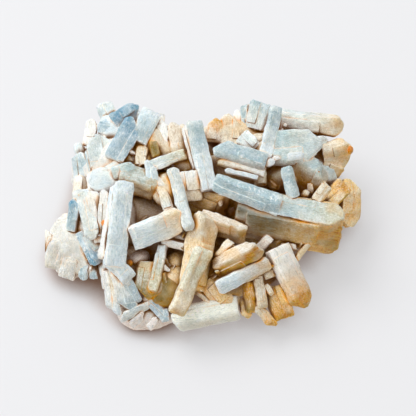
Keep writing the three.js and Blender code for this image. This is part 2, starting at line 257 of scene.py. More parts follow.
# A row holds a name, the root and the tip, the width, the thickness, the turn in degrees
# about its length, the form of its end, and the tints of its body and its tip. Root and tip
# are across and up in the display view, and height above the table, in millimetres.
CRYSTALS = [
    ["top_left_knob", [-28.8, 30, 16], [-30.3, 34.5, 20], 5, 4, 20, "square", "blue", "ice"],
    ["top_left_deep", [-27, 28, 20], [-19.5, 33, 23], 6, 5, 10, "chisel", "deep", "deep"],
    ["left_fan_plate", [-25, 26.2, 20], [-32.3, 27, 18], 5, 3, -10, "round", "slate", "slate"],
    ["pale_upper_blade", [-20.1, 22.2, 25], [-15.3, 31.8, 27], 6.4, 2.5, -10, "square", "blue", "ice"],
    ["deep_long_blade", [-27.3, 16.8, 24], [-20.1, 29.1, 26], 6.2, 3.4, 0, "slant", "slate", "deep"],
    ["slate_plate", [-25, 16, 21], [-19, 23, 21.5], 5, 2.5, 30, "square", "slate", "slate"],
    ["grey_plate", [-29.7, 15, 20], [-31.5, 25, 22], 9, 3, 5, "chisel", "grey", "grey"],
    ["left_knob", [-37, 18.5, 13], [-38.3, 22.5, 17], 3.5, 2.5, 0, "round", "ice", "ice"],
    ["left_white_plate", [-36, 8, 12], [-36.8, 19.5, 19], 6, 2.5, -25, "chisel", "ice", "blue"],
    ["left_cream_low", [-36.5, 2.5, 13], [-36.3, 13, 15], 6.5, 3, 0, "chisel", "cream", "white"],
    ["left_cream_mid", [-31, 6, 18], [-32, 14, 19], 7, 3, 0, "round", "white", "white"],
    ["left_thin_edge", [-33.3, 12, 17], [-35.2, 20, 20.5], 4, 1.2, 70, "slant", "blue", "blue"],
    ["left_cream_plate", [-35, 21, 15], [-33.3, 29.4, 17], 4.5, 2, -15, "chisel", "white", "white"],
    ["left_cross_blade", [-25, 15.3, 23], [-34, 8.4, 19], 4.5, 3, 20, "square", "grey", "grey"],
    ["teal_cap", [-27.5, 12.5, 24], [-20.5, 15, 25], 4.5, 3, 10, "round", "teal", "teal"],
    ["teal_thick_blade", [-25, 11.5, 22], [-12, 7.5, 22], 7.5, 5.5, 40, "chisel", "lagoon", "lagoon"],
    ["flecked_piece", [-16, 11.5, 23.5], [-11, 7, 24], 4, 2.5, 0, "slant", "white", "white"],
    ["white_wedge_a", [-31, -8, 16], [-33.3, 7.5, 23], 3.6, 2.5, 25, "square", "white", "white"],
    ["white_wedge_b", [-30, -8, 17], [-29.4, 8.4, 25], 4, 2.5, -20, "chisel", "white", "white"],
    ["white_wedge_c", [-30.8, -12.5, 20], [-27.8, 4, 25], 2.2, 2, 0, "slant", "white", "white"],
    ["pale_column", [-28, -4, 22], [-26.7, 9.5, 27], 3, 2.5, 20, "chisel", "frost", "frost"],
    ["big_vertical_blade", [-26.7, -15, 19], [-23.55, 10.5, 31], 6.4, 4, 12, "square", "frost", "frost"],
    ["left_blue_a", [-39.6, -4.5, 14], [-38.6, 5.3, 20], 3.2, 2.5, 10, "chisel", "blue", "deep"],
    ["left_blue_b", [-35.8, 6, 19], [-33, -7.2, 19], 5, 3.2, 0, "round", "grey", "grey"],
    ["left_grey_top", [-36.5, 3, 17], [-37, 8, 20], 5, 3, -15, "square", "grey", "grey"],
    ["lower_left_blade", [-37, -5, 13.5], [-31.5, -14.7, 12], 3.8, 2.5, -10, "round", "slate", "deep"],
    ["lower_left_teal", [-33.6, -5.5, 14], [-30.5, -11, 14], 4.5, 2, 0, "square", "teal", "teal"],
    ["matrix_blue_a", [-35, -12, 9], [-36.5, -19.6, 7.5], 3.5, 2, 0, "chisel", "blue", "blue"],
    ["matrix_blue_b", [-34, -12, 9], [-33, -19, 7.5], 3, 2, 10, "square", "blue", "blue"],
    ["striated_fan", [-25.5, -15.3, 15], [-22.2, -29.4, 8], 6.6, 3, -15, "slant", "white", "blue"],
    ["fan_step_a", [-28.8, -16.2, 14.5], [-27.6, -28.5, 8.5], 2.6, 2.2, -35, "slant", "white", "ice"],
    ["fan_step_b", [-29.7, -15.6, 13], [-29.1, -22.2, 10], 2.6, 2, -30, "broken", "white", "white"],
    ["fan_step_c", [-27.3, -15.9, 15.5], [-25.8, -30, 8], 2.4, 2.2, -30, "slant", "cream", "ice"],
    ["fan_right", [-24, -19, 14], [-19.5, -26.5, 9.5], 5, 2.5, 15, "slant", "blue", "slate"],
    ["under_big_blade", [-28, -13, 18.5], [-21.6, -19.2, 16], 4.6, 3, 10, "square", "ice", "ice"],
    ["tan_striated_plate", [-15.9, -13.8, 15], [-17.4, -25.2, 11], 8.4, 2.5, 5, "chisel", "sage", "olive"],
    ["narrow_pale_a", [-15.3, -22.5, 14], [-12, -7.8, 18.5], 3.4, 2.4, -15, "square", "sage", "ice"],
    # olive_plate: its olive tint is partly painted shade, for a side that lies in shade
    ["olive_plate", [-12.9, -17, 14], [-10.2, -27.3, 8], 4, 3, 30, "chisel", "olive", "olive"],
    ["front_slate_blade", [-18, -23.5, 10.5], [-10.8, -30.6, 7.5], 3.4, 2.2, 20, "square", "slate", "slate"],
    ["front_grey_blade", [-16, -26, 9.5], [-25.4, -30.8, 7], 3, 2, -20, "slant", "grey", "grey"],
    ["front_blue_end", [-12, -27.5, 9], [-11.4, -31.8, 7.5], 3, 2, 0, "square", "slate", "slate"],
    ["bottom_curved_blade", [10.2, -27.3, 11], [-9.9, -30.9, 9], 6.6, 4, 32, "round", "moss", "moss"],
    ["front_blade", [0.15, -9.6, 24], [-8.4, -29.4, 15], 5.6, 3.5, -12, "square", "sage", "cream"],
    ["ridge_blade", [-3.6, -22, 14], [0.4, 1.2, 24], 8, 6, 45, "square", "tan", "cream"],
    ["thick_white_edge", [-0.9, -0.9, 20], [12.6, -5.7, 20], 8.4, 3.2, 50, "square", "amber", "amber"],
    ["little_cube", [8.2, 0.2, 16], [8.1, 3, 18], 2.2, 2.2, 30, "broken", "white", "white"],
    ["diagonal_blade", [22.8, 3.15, 27], [2.4, 10.6, 30], 6, 4.5, -22, "square", "blue", "blue"],
    # right_block: its dark root tint is painted shade on the block's shaded left end
    ["right_block", [9.6, 0.9, 20], [41.1, -5.1, 17], 13, 9, 44, "square", "umber", "tan"],
    ["block_cap", [19.8, 3.75, 25.3], [42.3, -0.54, 23.2], 9.6, 1.6, -46, "round", "teal", "sage"],
    ["blue_top_blade", [18.6, 15.7, 26.5], [2.8, 20.7, 28.5], 5.2, 4.7, 38, "slant", "blue", "blue"],
    ["white_underlayer", [18.3, 13.2, 24.5], [3.6, 17.4, 26], 5, 3.5, 38, "slant", "white", "cream"],
    ["centre_blade", [1.5, 7.5, 24], [-3, 29, 31], 4.9, 3.2, 15, "square", "ice", "blue"],
    ["cream_long", [-0.5, 7.5, 22], [-5.6, 27.5, 27.5], 3, 2.5, -15, "chisel", "white", "white"],
    ["cream_plate", [-3.6, 4.5, 21], [-4.8, 13.5, 26], 7.2, 4, 10, "square", "cream", "white"],
    ["cream_back_a", [-7, 14, 21], [-9, 28.6, 25.5], 4.8, 3, 10, "chisel", "cream", "amber"],
    ["cream_back_b", [-5.2, 15, 21], [-6, 28.4, 25], 2.6, 2.5, -20, "slant", "cream", "cream"],
    ["cream_back_c", [-12.5, 17, 21], [-13, 29.5, 24.5], 5, 3, -15, "chisel", "white", "white"],
    ["cream_back_d", [-14, 26, 22], [-13.5, 31.2, 24], 4, 2, 30, "square", "white", "white"],
    ["grey_cross", [-16.8, 14.4, 25], [-5.2, 18.8, 26], 4, 3, 0, "square", "grey", "sage"],
    ["pale_chunk", [-15.5, 10, 24], [-16.2, 17, 26.5], 4, 2.5, 10, "slant", "ice", "ice"],
    ["olive_small", [-14.4, 17.5, 24], [-15.2, 22.6, 26], 2.6, 2, 20, "broken", "olive", "olive"],
    ["cream_small", [-19, 15, 23], [-18.4, 22.2, 24], 4, 2.5, -10, "chisel", "cream", "cream"],
    ["crossing_long", [-9.3, 13.8, 26], [-4.2, -4.5, 26.5], 3.6, 3, 10, "round", "grey", "grey"],
    ["crossing_short", [-12.6, 8.7, 24], [-9.9, 0.3, 24], 3.4, 3, 0, "square", "cream", "grey"],
    ["centre_left_block", [-21.75, -6.45, 22], [-5.1, -0.3, 25], 7.4, 5, 18, "round", "frost", "cream"],
    ["small_pink_a", [-12.8, -7.5, 19], [-5.2, -9.3, 19], 2.6, 2, 20, "broken", "white", "white"],
    ["small_pink_b", [-9, -5.5, 20], [-3.4, -6.8, 20], 2, 1.6, 20, "broken", "white", "white"],
    ["back_blue_narrow", [12.8, 24, 20], [12.2, 33.8, 23.5], 3, 2.5, -20, "square", "blue", "blue"],
    ["back_block", [15, 26, 21], [17.3, 34.9, 24.5], 6, 4, -10, "square", "grey", "blue"],
    ["back_gold", [3.5, 22, 20], [4, 29.8, 23], 6, 3, 10, "chisel", "amber", "gold"],
    ["back_cream", [7.5, 21, 20], [8, 31, 22.5], 6.5, 3, 0, "chisel", "cream", "amber"],
    ["back_white", [10.4, 23, 19], [10.6, 32.4, 22], 3.5, 2.5, 0, "slant", "white", "white"],
    ["back_grey", [15.5, 20, 23.5], [11, 24.5, 25], 5, 2.5, 0, "square", "grey", "grey"],
    ["long_cross_blade", [17.9, 16.5, 25], [22, 33.2, 31], 4.3, 2.5, 10, "square", "ice", "blue"],
    ["back_right_bar", [22.5, 29, 22], [42.3, 26.8, 21], 6.4, 5, 15, "round", "grey", "cream"],
    ["rounded_plate", [20.4, 20.1, 24.5], [35.4, 21, 26], 11, 4.5, -8, "round", "teal", "grey"],
    ["chip_a", [25, 17.6, 28.5], [30.2, 18.3, 28.5], 2.8, 1.6, 0, "round", "ice", "ice"],
    ["chip_b", [20.5, 17, 26.5], [23, 17.6, 27], 1.6, 1.4, 0, "broken", "white", "white"],
    ["chip_c", [18, 15.4, 26.5], [21.4, 16.6, 27.5], 2.2, 1.6, 0, "broken", "ice", "ice"],
    # lower_right_plate: its olive root is painted shade, darker towards the bottom of a shaded pit
    ["lower_right_plate", [28.5, 7.2, 15], [33.9, 17.4, 25], 11, 5, 0, "round", "olive", "teal"],
    ["small_vertical", [27, 5.5, 24], [24.2, 15, 29], 3.6, 2.8, -30, "square", "blue", "blue"],
    ["right_tan_block", [35.3, 17.2, 18], [45.2, 20, 17], 9.5, 5, 20, "chisel", "cream", "tan"],
    ["right_cream_plate", [34.5, 14.5, 17], [42, 12.5, 13], 6, 4, 20, "slant", "cream", "tan"],
    ["right_grey_small", [33.8, 22, 21], [37.8, 22.6, 21], 4, 3, 0, "chisel", "grey", "grey"],
    ["right_most_plate", [43.2, -3.4, 9], [43.6, 11.4, 16], 7.5, 5, 22, "double", "tan", "tan"],
    ["right_most_foot", [39.9, -2.4, 9], [46.5, 1.2, 9.5], 4, 3, 0, "square", "slate", "slate"],
    ["cream_end_block", [33.5, 4.5, 22], [37.3, 9.8, 25], 3.6, 3, -10, "square", "cream", "cream"],
    ["cream_cube", [29.5, 5.7, 21], [31.2, 7.7, 22.5], 2, 1.8, 20, "broken", "cream", "cream"],
    ["rust_plate", [37, 4, 16], [42.5, 9.5, 17.5], 6, 3, 0, "square", "tan", "gold"],
    ["bright_thick_blade", [4, -15.6, 17], [16.6, -9.2, 25], 6, 4.6, 45, "square", "amber", "amber"],
    ["lower_bright_blade", [4, -21.4, 17.5], [19.9, -13.6, 20], 4.6, 3, 10, "square", "ice", "amber"],
    ["small_slanted", [4.2, -12.6, 18.5], [8.2, -7.3, 21.5], 2.6, 2.2, -20, "broken", "cream", "cream"],
    ["right_pitted", [21.5, -9.5, 19], [30, -27.5, 10], 7.5, 5.5, -28, "round", "white", "gold"],
    ["bottom_vertical", [16, -18, 15.5], [17.6, -28, 11], 3.2, 2.4, -15, "square", "cream", "cream"],
    ["bottom_wedge", [15.3, -26, 10.5], [21, -33.3, 7], 3.2, 2.5, 15, "slant", "cream", "gold"],
    ["bottom_tan_side", [13.5, -19, 14], [14.8, -29, 9], 4, 3, -40, "square", "gold", "olive"],
    ["bottom_right_plate", [20.5, -21, 11.5], [24, -31, 6.5], 7, 3.5, 10, "square", "tan", "gold"],
    ["bottom_small", [11.8, -24.5, 10], [13, -31, 7], 3.2, 2.2, -10, "chisel", "tan", "tan"],
    ["stick_a", [27.3, -13, 15], [31.8, -7.8, 18], 2.2, 1.8, 20, "broken", "cream", "cream"],
    ["stick_b", [23, -8.8, 16.5], [28, -9.2, 17], 2, 1.5, 0, "broken", "white", "white"],
    ["stick_c", [21.5, -8.2, 17], [24.5, -5.8, 19], 1.2, 1, 0, "broken", "cream", "cream"],
    ["pink_stub", [15.9, -10.2, 15.5], [20, -6, 19.5], 3, 2, 0, "square", "white", "white"],
    ["gold_stub", [18, -18, 15], [21.5, -16.5, 16], 2.4, 1.8, 0, "broken", "cream", "cream"],
    ["white_stub", [18.6, -20.5, 14], [20.6, -23.6, 13.5], 1.8, 1.5, 0, "broken", "cream", "cream"],
    ["tan_layer_a", [0.5, -19.5, 14.5], [7.6, -28, 10.5], 6, 2.5, 10, "square", "tan", "tan"],
    ["tan_layer_b", [-1.8, -22.8, 13], [2.6, -26.9, 12], 1.4, 1.2, 0, "broken", "cream", "cream"],
    ["gold_layer", [2, -16, 15], [6, -23.5, 13], 5, 3, 0, "square", "gold", "gold"],
    ["thin_edge", [9.8, -24, 11], [7.6, -29.8, 8.5], 1.6, 2.5, 60, "broken", "cream", "cream"],
    ["shadow_plate", [-3.6, 6.6, 20], [7.2, 2.4, 18.5], 6.4, 3, 25, "square", "tan", "tan"],
    ["sage_inner", [17, 9, 22], [16.5, 15, 25.5], 4, 3, 0, "square", "sage", "sage"],
    ["olive_inner", [12.5, 10, 22], [17, 14, 24], 4, 2, 0, "slant", "sage", "sage"],
    ["thin_ledge", [16, 11.2, 27], [5.5, 14, 29], 2, 1.5, 20, "slant", "ice", "ice"],
    ["left_lump_plate_a", [-46.2, -15.6, 7], [-43.2, -6.6, 12.5], 6, 3.5, 10, "chisel", "shell", "shell"],
    ["left_lump_plate_b", [-41.4, -18.6, 6], [-39, -10.2, 11.5], 5, 3, -10, "slant", "shell", "shell"],
    ["left_lump_plate_c", [-49.2, -12.6, 6.5], [-47.1, -4.2, 10.5], 4.5, 3, 20, "round", "shell", "shell"],
    ["front_lump_plate_a", [-21.9, -32.4, 5], [-17.4, -29.1, 8.5], 3, 2, 10, "slant", "pink", "pink"],
    ["front_lump_plate_b", [-16.5, -33.3, 4.5], [-13.5, -29.7, 7.5], 2.6, 2, -20, "chisel", "pink", "pink"],
]
CRYSTAL_MESH_SIZE = 0.6
EDGE_REACH = 0.8
ROUGH_END = 1.2
LEDGED_FROM = 2.8
LEDGE_LEAST_STEP = 0.12
GRAIN_LEAN = 0.9
GRAIN_STRETCH = 0.12
MOST_TAPER = 0.14
MOST_TWIST = 0.07
EDGE_WEAR = 0.3
STREAK_DEPTH = 0.14
BROKEN_END_DEPTH = 0.6
LUMPY_DEPTH = 0.9
GRIT_DEPTH = 0.25


def seen_at(across, up, height):
    """The place of a point that the display view shows across and up, at a height."""
    return Vector((across, (up - height * math.cos(ELEVATION)) / math.sin(ELEVATION), height))


def cuts_of(length, wide, end):
    """Planes that cut a crystal's tip to the form of its end, and a double one's root too."""
    half = wide / 2
    cut = min(length, wide)
    tips = {
        "chisel": [(half, -0.55 * cut), (0.3 * half, 0), (-0.25 * half, 0), (-half, -0.45 * cut)],
        "slant": [(half, -0.7 * cut), (-0.5 * half, 0), (-half, -0.15 * cut)],
        "square": [(half, -0.12 * cut), (0.88 * half, 0), (-0.85 * half, 0), (-half, -0.1 * cut)],
        "double": [(half, -0.5 * cut), (0.3 * half, 0), (-0.4 * half, 0), (-half, -0.2 * cut)],
        "broken": [],
        "round": [
            (half, -0.45 * cut),
            (0.75 * half, -0.14 * cut),
            (0.3 * half, 0),
            (-0.35 * half, 0),
            (-0.78 * half, -0.16 * cut),
            (-half, -0.45 * cut),
        ],
    }
    corners = [Vector((x, length + y, 0)) for x, y in tips[end]]
    lines = list(zip(corners, corners[1:]))
    if end == "double":
        left = Vector((-half, 0.35 * cut, 0))
        right = Vector((half, 0.4 * cut, 0))
        lines += [(left, Vector((-0.2 * half, 0, 0))), (Vector((0.25 * half, 0, 0)), right)]
    return [(a, (b - a).cross(Vector((0, 0, 1)))) for a, b in lines if abs((b - a).y) > 1e-6]


streaks = noise_texture("streaks", 0.45, 1)
lumpy = noise_texture("lumpy", 4, 2)


def facets(wide, length, thick):
    """Planes that bevel some long edges and the tip of a crystal."""
    for side, front in random.sample([(-1, -1), (-1, 1), (1, -1), (1, 1)], 3):
        a = random.uniform(0.06, 0.2) * wide
        b = random.uniform(0.12, 0.4) * thick
        lean = random.uniform(-0.06, 0.06)
        yield (side * (wide / 2 - a), length / 2, front * thick / 2), (side / a, lean, front / b)
    for front in (-1, 1):
        a = random.uniform(0.3, 0.9) * thick
        b = random.uniform(0.3, 0.6) * thick
        yield (0, length - a, front * thick / 2), (random.uniform(-0.1, 0.1) / a, 1 / a, front / b)


def select_where(piece, test):
    """Selects the faces whose centre and normal pass a test."""
    bpy.ops.mesh.select_all(action="DESELECT")
    bpy.ops.object.mode_set(mode="OBJECT")
    for face in piece.data.polygons:
        face.select = test(face.center, face.normal)
    bpy.ops.object.mode_set(mode="EDIT")
    bpy.ops.mesh.select_mode(type="FACE")


def ledge(piece, wide, length, thick, side):
    """A thin plate that grew on a broad face, along part of one edge."""
    reach = random.uniform(-0.25, 0.2) * wide
    low = random.uniform(-0.1, 0.35) * length
    high = low + random.uniform(0.5, 0.8) * length
    way = random.choice((-1, 1))
    select_where(piece, lambda c, n: n.z * side > 0.7 and c.x * way > reach and low < c.y < high)
    step = {"value": (0, 0, side * random.uniform(0.05, 0.11) * thick + side * LEDGE_LEAST_STEP)}
    bpy.ops.mesh.extrude_region_move(TRANSFORM_OT_translate=step)


def blade(name, root, tip, wide, thick, roll, end, tint, tip_tint, mesh_size, plain=False):
    """One crystal: a block cut by planes, remeshed evenly, stepped, warped, streaked and placed."""
    axis = tip - root
    length = axis.length
    axis.normalize()
    face = (FACING - axis * FACING.dot(axis)).normalized()
    face = Matrix.Rotation(math.radians(roll), 3, axis) @ face
    bpy.ops.object.select_all(action="DESELECT")
    bpy.ops.mesh.primitive_cube_add(size=1)
    piece = bpy.context.object
    piece.name = name
    bpy.ops.object.mode_set(mode="EDIT")
    bpy.ops.transform.resize(value=(wide, length, thick))
    bpy.ops.transform.translate(value=(0, length / 2, 0))
    planes = cuts_of(length, wide, end)
    if not plain:
        planes += facets(wide, length, thick)
    for point, outward in planes:
        bpy.ops.mesh.select_all(action="SELECT")
        bpy.ops.mesh.bisect(plane_co=point, plane_no=outward, use_fill=True, clear_outer=True)
    bpy.ops.object.mode_set(mode="OBJECT")
    even = piece.modifiers.new("even", "REMESH")
    even.mode = "VOXEL"
    even.voxel_size = mesh_size
    bpy.ops.object.modifier_apply(modifier=even.name)
    bpy.ops.object.mode_set(mode="EDIT")
    if not plain and wide > LEDGED_FROM:
        ledge(piece, wide, length, thick, 1)
        ledge(piece, wide, length, thick, -1)
    bpy.ops.object.mode_set(mode="OBJECT")
    points = points_of(piece)
    grain_map(piece, points[:, 0] + GRAIN_LEAN * points[:, 2], GRAIN_STRETCH * points[:, 1])
    sides = np.stack([
        np.abs(wide / 2 - np.abs(points[:, 0])),
        np.minimum(points[:, 1], length - points[:, 1]),
        np.abs(thick / 2 - np.abs(points[:, 2])),
    ])
    edges = np.clip(1 - np.sort(sides, axis=0)[1] / EDGE_REACH, 0, 1)
    along = np.clip(points[:, 1] / length, 0, 1)
    ends = piece.vertex_groups.new(name="ends")
    near = np.flatnonzero(points[:, 1] > length - ROUGH_END)
    ends.add([int(i) for i in near], 1, "REPLACE")
    for method, most in (("TAPER", MOST_TAPER), ("TWIST", MOST_TWIST)):
        warp = piece.modifiers.new("warp", "SIMPLE_DEFORM")
        warp.deform_method = method
        warp.deform_axis = "Y"
        warp.factor = random.uniform(-most, most)
        bpy.ops.object.modifier_apply(modifier=warp.name)
    worn = piece.modifiers.new("worn", "SMOOTH")
    worn.iterations = 1
    worn.factor = EDGE_WEAR
    bpy.ops.object.modifier_apply(modifier=worn.name)
    displace(piece, streaks, STREAK_DEPTH, "UV")
    displace(piece, streaks, BROKEN_END_DEPTH, "UV", "Y", "ends")
    across = axis.cross(face)
    place = Matrix((across, axis, face)).transposed().to_4x4()
    place.translation = root
    piece.data.transform(place)
    displace(piece, lumpy, LUMPY_DEPTH, "LOCAL")
    displace(piece, gritty, GRIT_DEPTH, "LOCAL")
    paint(piece, tint, tip_tint, edges.astype(np.float32), along.astype(np.float32))
    return piece


# The stems: the lower ends of the higher crystals, which run down and back behind them into
# the base and can't be seen from the display side. They are the same barite, grown in one.
# Every broad crystal that stands high has one, and so have some of the smaller ones.
STEM_FROM = 11
STEM_WIDE = 6.4
STEM_FOOT_HEIGHT = 4
STEM_FRONT = -26
STEM_BACK = 15
STEM_INWARD = 0.92
STEM_WIDEST = 11
STEM_THINNEST = 1.6
STEM_TOP_ALONG = 0.45
STEM_TURN = 4
STEM_MESH_SIZE = 1.1
ALSO_STEMMED = [
    "pale_chunk",
    "cream_end_block",
    "small_vertical",
    "thin_ledge",
    "cream_cube",
    "chip_a",
    "top_left_knob",
    "top_left_deep",
    "olive_small",
    "back_grey",
]


def stem(name, root, tip, wide, roll, tint, index):
    """The hidden lower end of a crystal, from inside it down to the base."""
    top = root.lerp(tip, STEM_TOP_ALONG)
    tilted = math.radians(roll)
    top -= FACING * 0.3 * wide * abs(math.sin(tilted))
    behind = (top.z - STEM_FOOT_HEIGHT) / math.tan(ELEVATION)
    depth = min(max(top.y + behind, STEM_FRONT), STEM_BACK)
    foot = Vector((STEM_INWARD * top.x, depth, STEM_FOOT_HEIGHT))
    along = tip - root
    stem_wide = min(0.55 * along.length, STEM_WIDEST)
    stem_thick = max(0.6 * wide * abs(math.cos(tilted)), STEM_THINNEST)
    axis = (top - foot).normalized()
    face = along.normalized().cross(axis).normalized()
    plain = (FACING - axis * FACING.dot(axis)).normalized()
    turn = math.degrees(math.atan2(plain.cross(face).dot(axis), plain.dot(face)))
    turn += STEM_TURN * math.sin(2.4 * index)
    size = (stem_wide, stem_thick)
    return blade(name + "_stem", foot, top, *size, turn, "broken", tint, tint, STEM_MESH_SIZE, True)


for index, (name, root, tip, wide, thick, roll, end, tint, tip_tint) in enumerate(CRYSTALS):
    root = seen_at(*root)
    tip = seen_at(*tip)
    pieces.append(blade(name, root, tip, wide, thick, roll, end, tint, tip_tint, CRYSTAL_MESH_SIZE))
    stemmed = wide >= STEM_WIDE or name in ALSO_STEMMED
    if stemmed and (root.z + tip.z) / 2 > STEM_FROM:
        stem_tint = "tan" if root.x > 0 and root.y < 0 else "cream"
        pieces.append(stem(name, root, tip, wide, roll, stem_tint, index))

# The rim: smaller blades of barite that stand out of the base round its sides and back, in a
# low row and a high row by turns. They grew outwards from the middle.
RIM_COUNT = 19
RIM_START = -22
RIM_STEP = 11.4
RIM_HALF_WIDTH = 34
RIM_HALF_DEPTH = 25
RIM_CENTRE_DEPTH = -3
RIM_BLADE_WIDE = 7
RIM_BLADE_THICK = 3.2
RIM_MOST_TURN = 40
RIM_MESH_SIZE = 0.75
RIM_ENDS = ("chisel", "slant", "square")
RIM_TINTS = ("teal", "cream", "grey", "tan", "blue")
for index in range(RIM_COUNT):
    angle = math.radians(RIM_START + RIM_STEP * index)
    high = index % 2
    wave = math.sin(3.7 * index)
    outward = Vector((RIM_HALF_WIDTH * math.cos(angle), RIM_HALF_DEPTH * math.sin(angle), 0))
    reach = 1.06 + 0.08 * math.sin(5.1 * index) - 0.1 * high
    root = Vector((0, RIM_CENTRE_DEPTH, 6 + 4 * high)) + outward * 0.5
    tip = Vector((0, RIM_CENTRE_DEPTH, 7 + 7 * high + 2 * wave)) + outward * reach
    end = RIM_ENDS[index % 3]
    tint = RIM_TINTS[index % 5]
    turn = RIM_MOST_TURN * math.sin(2.3 * index)
    size = (RIM_BLADE_WIDE + 2 * wave, RIM_BLADE_THICK)
    pieces.append(blade(f"rim_{index}", root, tip, *size, turn, end, tint, tint, RIM_MESH_SIZE))

# The cluster in one: lumps, crystals, stems and rim have grown through each other, so they
# are joined in one closed solid, and its inner corners are softened a little.
FUSING = 0.5


def join(whole, other):
    """Takes another solid into this one."""
    bpy.ops.object.select_all(action="DESELECT")
    bpy.context.view_layer.objects.active = whole
    union = whole.modifiers.new("union", "BOOLEAN")
    union.operation = "UNION"
    union.solver = "MANIFOLD"
    union.object = other
    bpy.ops.object.modifier_apply(modifier=union.name)
    bpy.data.objects.remove(other)
    return whole


def join_all(parts):
    """Joins the parts two by two, until one is left."""
    while len(parts) > 1:
        pairs = [parts[i : i + 2] for i in range(0, len(parts), 2)]
        parts = [join(*pair) if len(pair) == 2 else pair[0] for pair in pairs]
    return parts[0]


whole = join_all(pieces)
bpy.ops.object.select_all(action="DESELECT")
bpy.context.view_layer.objects.active = whole
fused = whole.modifiers.new("fused", "SMOOTH")
fused.iterations = 1
fused.factor = FUSING
bpy.ops.object.modifier_apply(modifier=fused.name)

# The crumbs: small crystals of barite that have grown in the hollows between the large ones.
# Rays find the hollows, most of them from the display side and some from the other sides, and
# a crumb stands where crystals shut the place in.
BACK = Vector((0, 0.9, 0.4))
RIGHT = Vector((0.9, 0, 0.4))
LEFT = Vector((-0.9, 0, 0.4))
FRONT = Vector((0, -0.9, 0.3))
WAYS = [FACING] * 6 + [BACK, RIGHT, LEFT, FRONT]
CRUMB_TRIES = 800
CRUMB_LEAST_HEIGHT = 3
CRUMB_ROOT_DEPTH = 0.9
CRUMB_MESH_SIZE = 0.45
WARM_TINTS = ("tan", "cream", "tan", "sage", "olive")
COOL_TINTS = ("white", "cream", "grey", "ice")
RAY_START = 80
SHELTER_REACH = 7
SHELTER_RAYS = 6
SHELTER_LEAST = 4


def sheltered(place, way):
    """Whether crystals stand up round this place."""
    side = way.orthogonal().normalized()
    shut = 0
    for turn in range(SHELTER_RAYS):
        lean = Matrix.Rotation(turn * 2 * math.pi / SHELTER_RAYS, 3, way) @ side
        shut += whole.ray_cast(place + way * 0.3, (way + lean).normalized(), distance=SHELTER_REACH)[0]
    return shut >= SHELTER_LEAST


crumbs = []
whole.data.update()
for index in range(CRUMB_TRIES):
    way = random.choice(WAYS).normalized()
    spot = Vector((random.uniform(-40, 40), random.uniform(-34, 24), random.uniform(4, 14)))
    hit, place, normal, face = whole.ray_cast(spot + way * RAY_START, -way)
    if not hit or place.z < CRUMB_LEAST_HEIGHT or not sheltered(place, way):
        continue
    lean = (normal + Vector([random.uniform(-1.3, 1.3) for k in range(3)])).normalized()
    long = random.uniform(1.6, 5)
    warm = place.x > -8 and place.y < 6
    tint = random.choice(WARM_TINTS if warm else COOL_TINTS)
    wide = random.uniform(0.8, 2.6)
    thick = random.uniform(0.5, 1)
    roll = random.uniform(-60, 60)
    root = place - lean * CRUMB_ROOT_DEPTH
    tip = root + lean * long
    name = f"crumb_{index}"
    crumbs.append(blade(name, root, tip, wide, thick, roll, "slant", tint, tint, CRUMB_MESH_SIZE, True))
whole = join(whole, join_all(crumbs))

# The underside: the cluster rests on flat spots under its lumps, so all that would lie below
# the table is cut off. The mesh is then thinned a little, brought from millimetres to the
# frame's metres and kept within the solid's box.
GROUND_WIDE = 240
GROUND_DEEP = 60
MESH_KEPT = 0.88
MILLIMETRE = 0.001
SMOOTH_BELOW = math.radians(32)
bpy.ops.object.select_all(action="DESELECT")
ground_size = (GROUND_WIDE, GROUND_WIDE, GROUND_DEEP)
bpy.ops.mesh.primitive_cube_add(size=1, location=(0, 0, -GROUND_DEEP / 2), scale=ground_size)
ground = bpy.context.object
bpy.context.view_layer.objects.active = whole
flat = whole.modifiers.new("flat", "BOOLEAN")
flat.operation = "DIFFERENCE"
flat.solver = "MANIFOLD"
flat.object = ground
bpy.ops.object.modifier_apply(modifier=flat.name)
bpy.data.objects.remove(ground)
thinned = whole.modifiers.new("thinned", "DECIMATE")
thinned.ratio = MESH_KEPT
bpy.ops.object.modifier_apply(modifier=thinned.name)

bpy.ops.object.select_all(action="DESELECT")
bpy.context.view_layer.objects.active = whole
whole.select_set(True)
whole.data.transform(Matrix.Scale(MILLIMETRE, 4))
points = np.clip(points_of(whole), np.array(cad_box[0]), np.array(cad_box[1]))
whole.data.vertices.foreach_set("co", points.astype(np.float32).ravel())
whole.data.update()
whole.name = "cluster"
bpy.ops.object.shade_smooth_by_angle(angle=SMOOTH_BELOW)
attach(whole, "root")
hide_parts("barite_cluster")

# The barite itself: milky and fibrous, blue where it is clean and tan to gold where limonite stains it,
# rusty along some edges. Light and shade are painted into its colour too: gold on the sides that face down,
# away from the light, milky paint and olive shade where crystals meet, limonite gold with painted shade in
# the tight seams, painted brown shade in the recesses, and a painted glow of light through the crystals into
# the seams. Colours are 0 to 255.
COOL_SHADE = (116, 148, 158)
HONEY_SHADE = (160, 122, 62)
CLOUD_WHITE = (240, 243, 240)
FIBRE_WHITE = (252, 250, 246)
SPECK_WHITE = (253, 252, 249)
CREST_WHITE = (253, 252, 248)
DEEP_GOLD = (184, 116, 6)
PALE_GOLD = (218, 178, 100)
OLIVE_GOLD = (166, 146, 84)
HONEY = (228, 184, 112)
RUST = (228, 156, 50)
MILK_BLUE = (226, 238, 238)
SHADE_OLIVE = (176, 158, 92)
LIMONITE_SEAM_SHADE = (226, 148, 24)
RECESS_SHADE_BROWN = (118, 70, 0)
PIT_BROWN = (150, 116, 60)
AWAY_FROM_LIGHT = Vector((0.35, -0.62, -0.62)).normalized()
SATURATION = 1.12
material = bpy.data.materials.new("barite")
material.use_nodes = True
nodes = material.node_tree.nodes
links = material.node_tree.links
shader = nodes["Principled BSDF"]


def node(kind, **values):
    made = nodes.new(kind)
    for key, value in values.items():
        setattr(made, key, value)
    return made


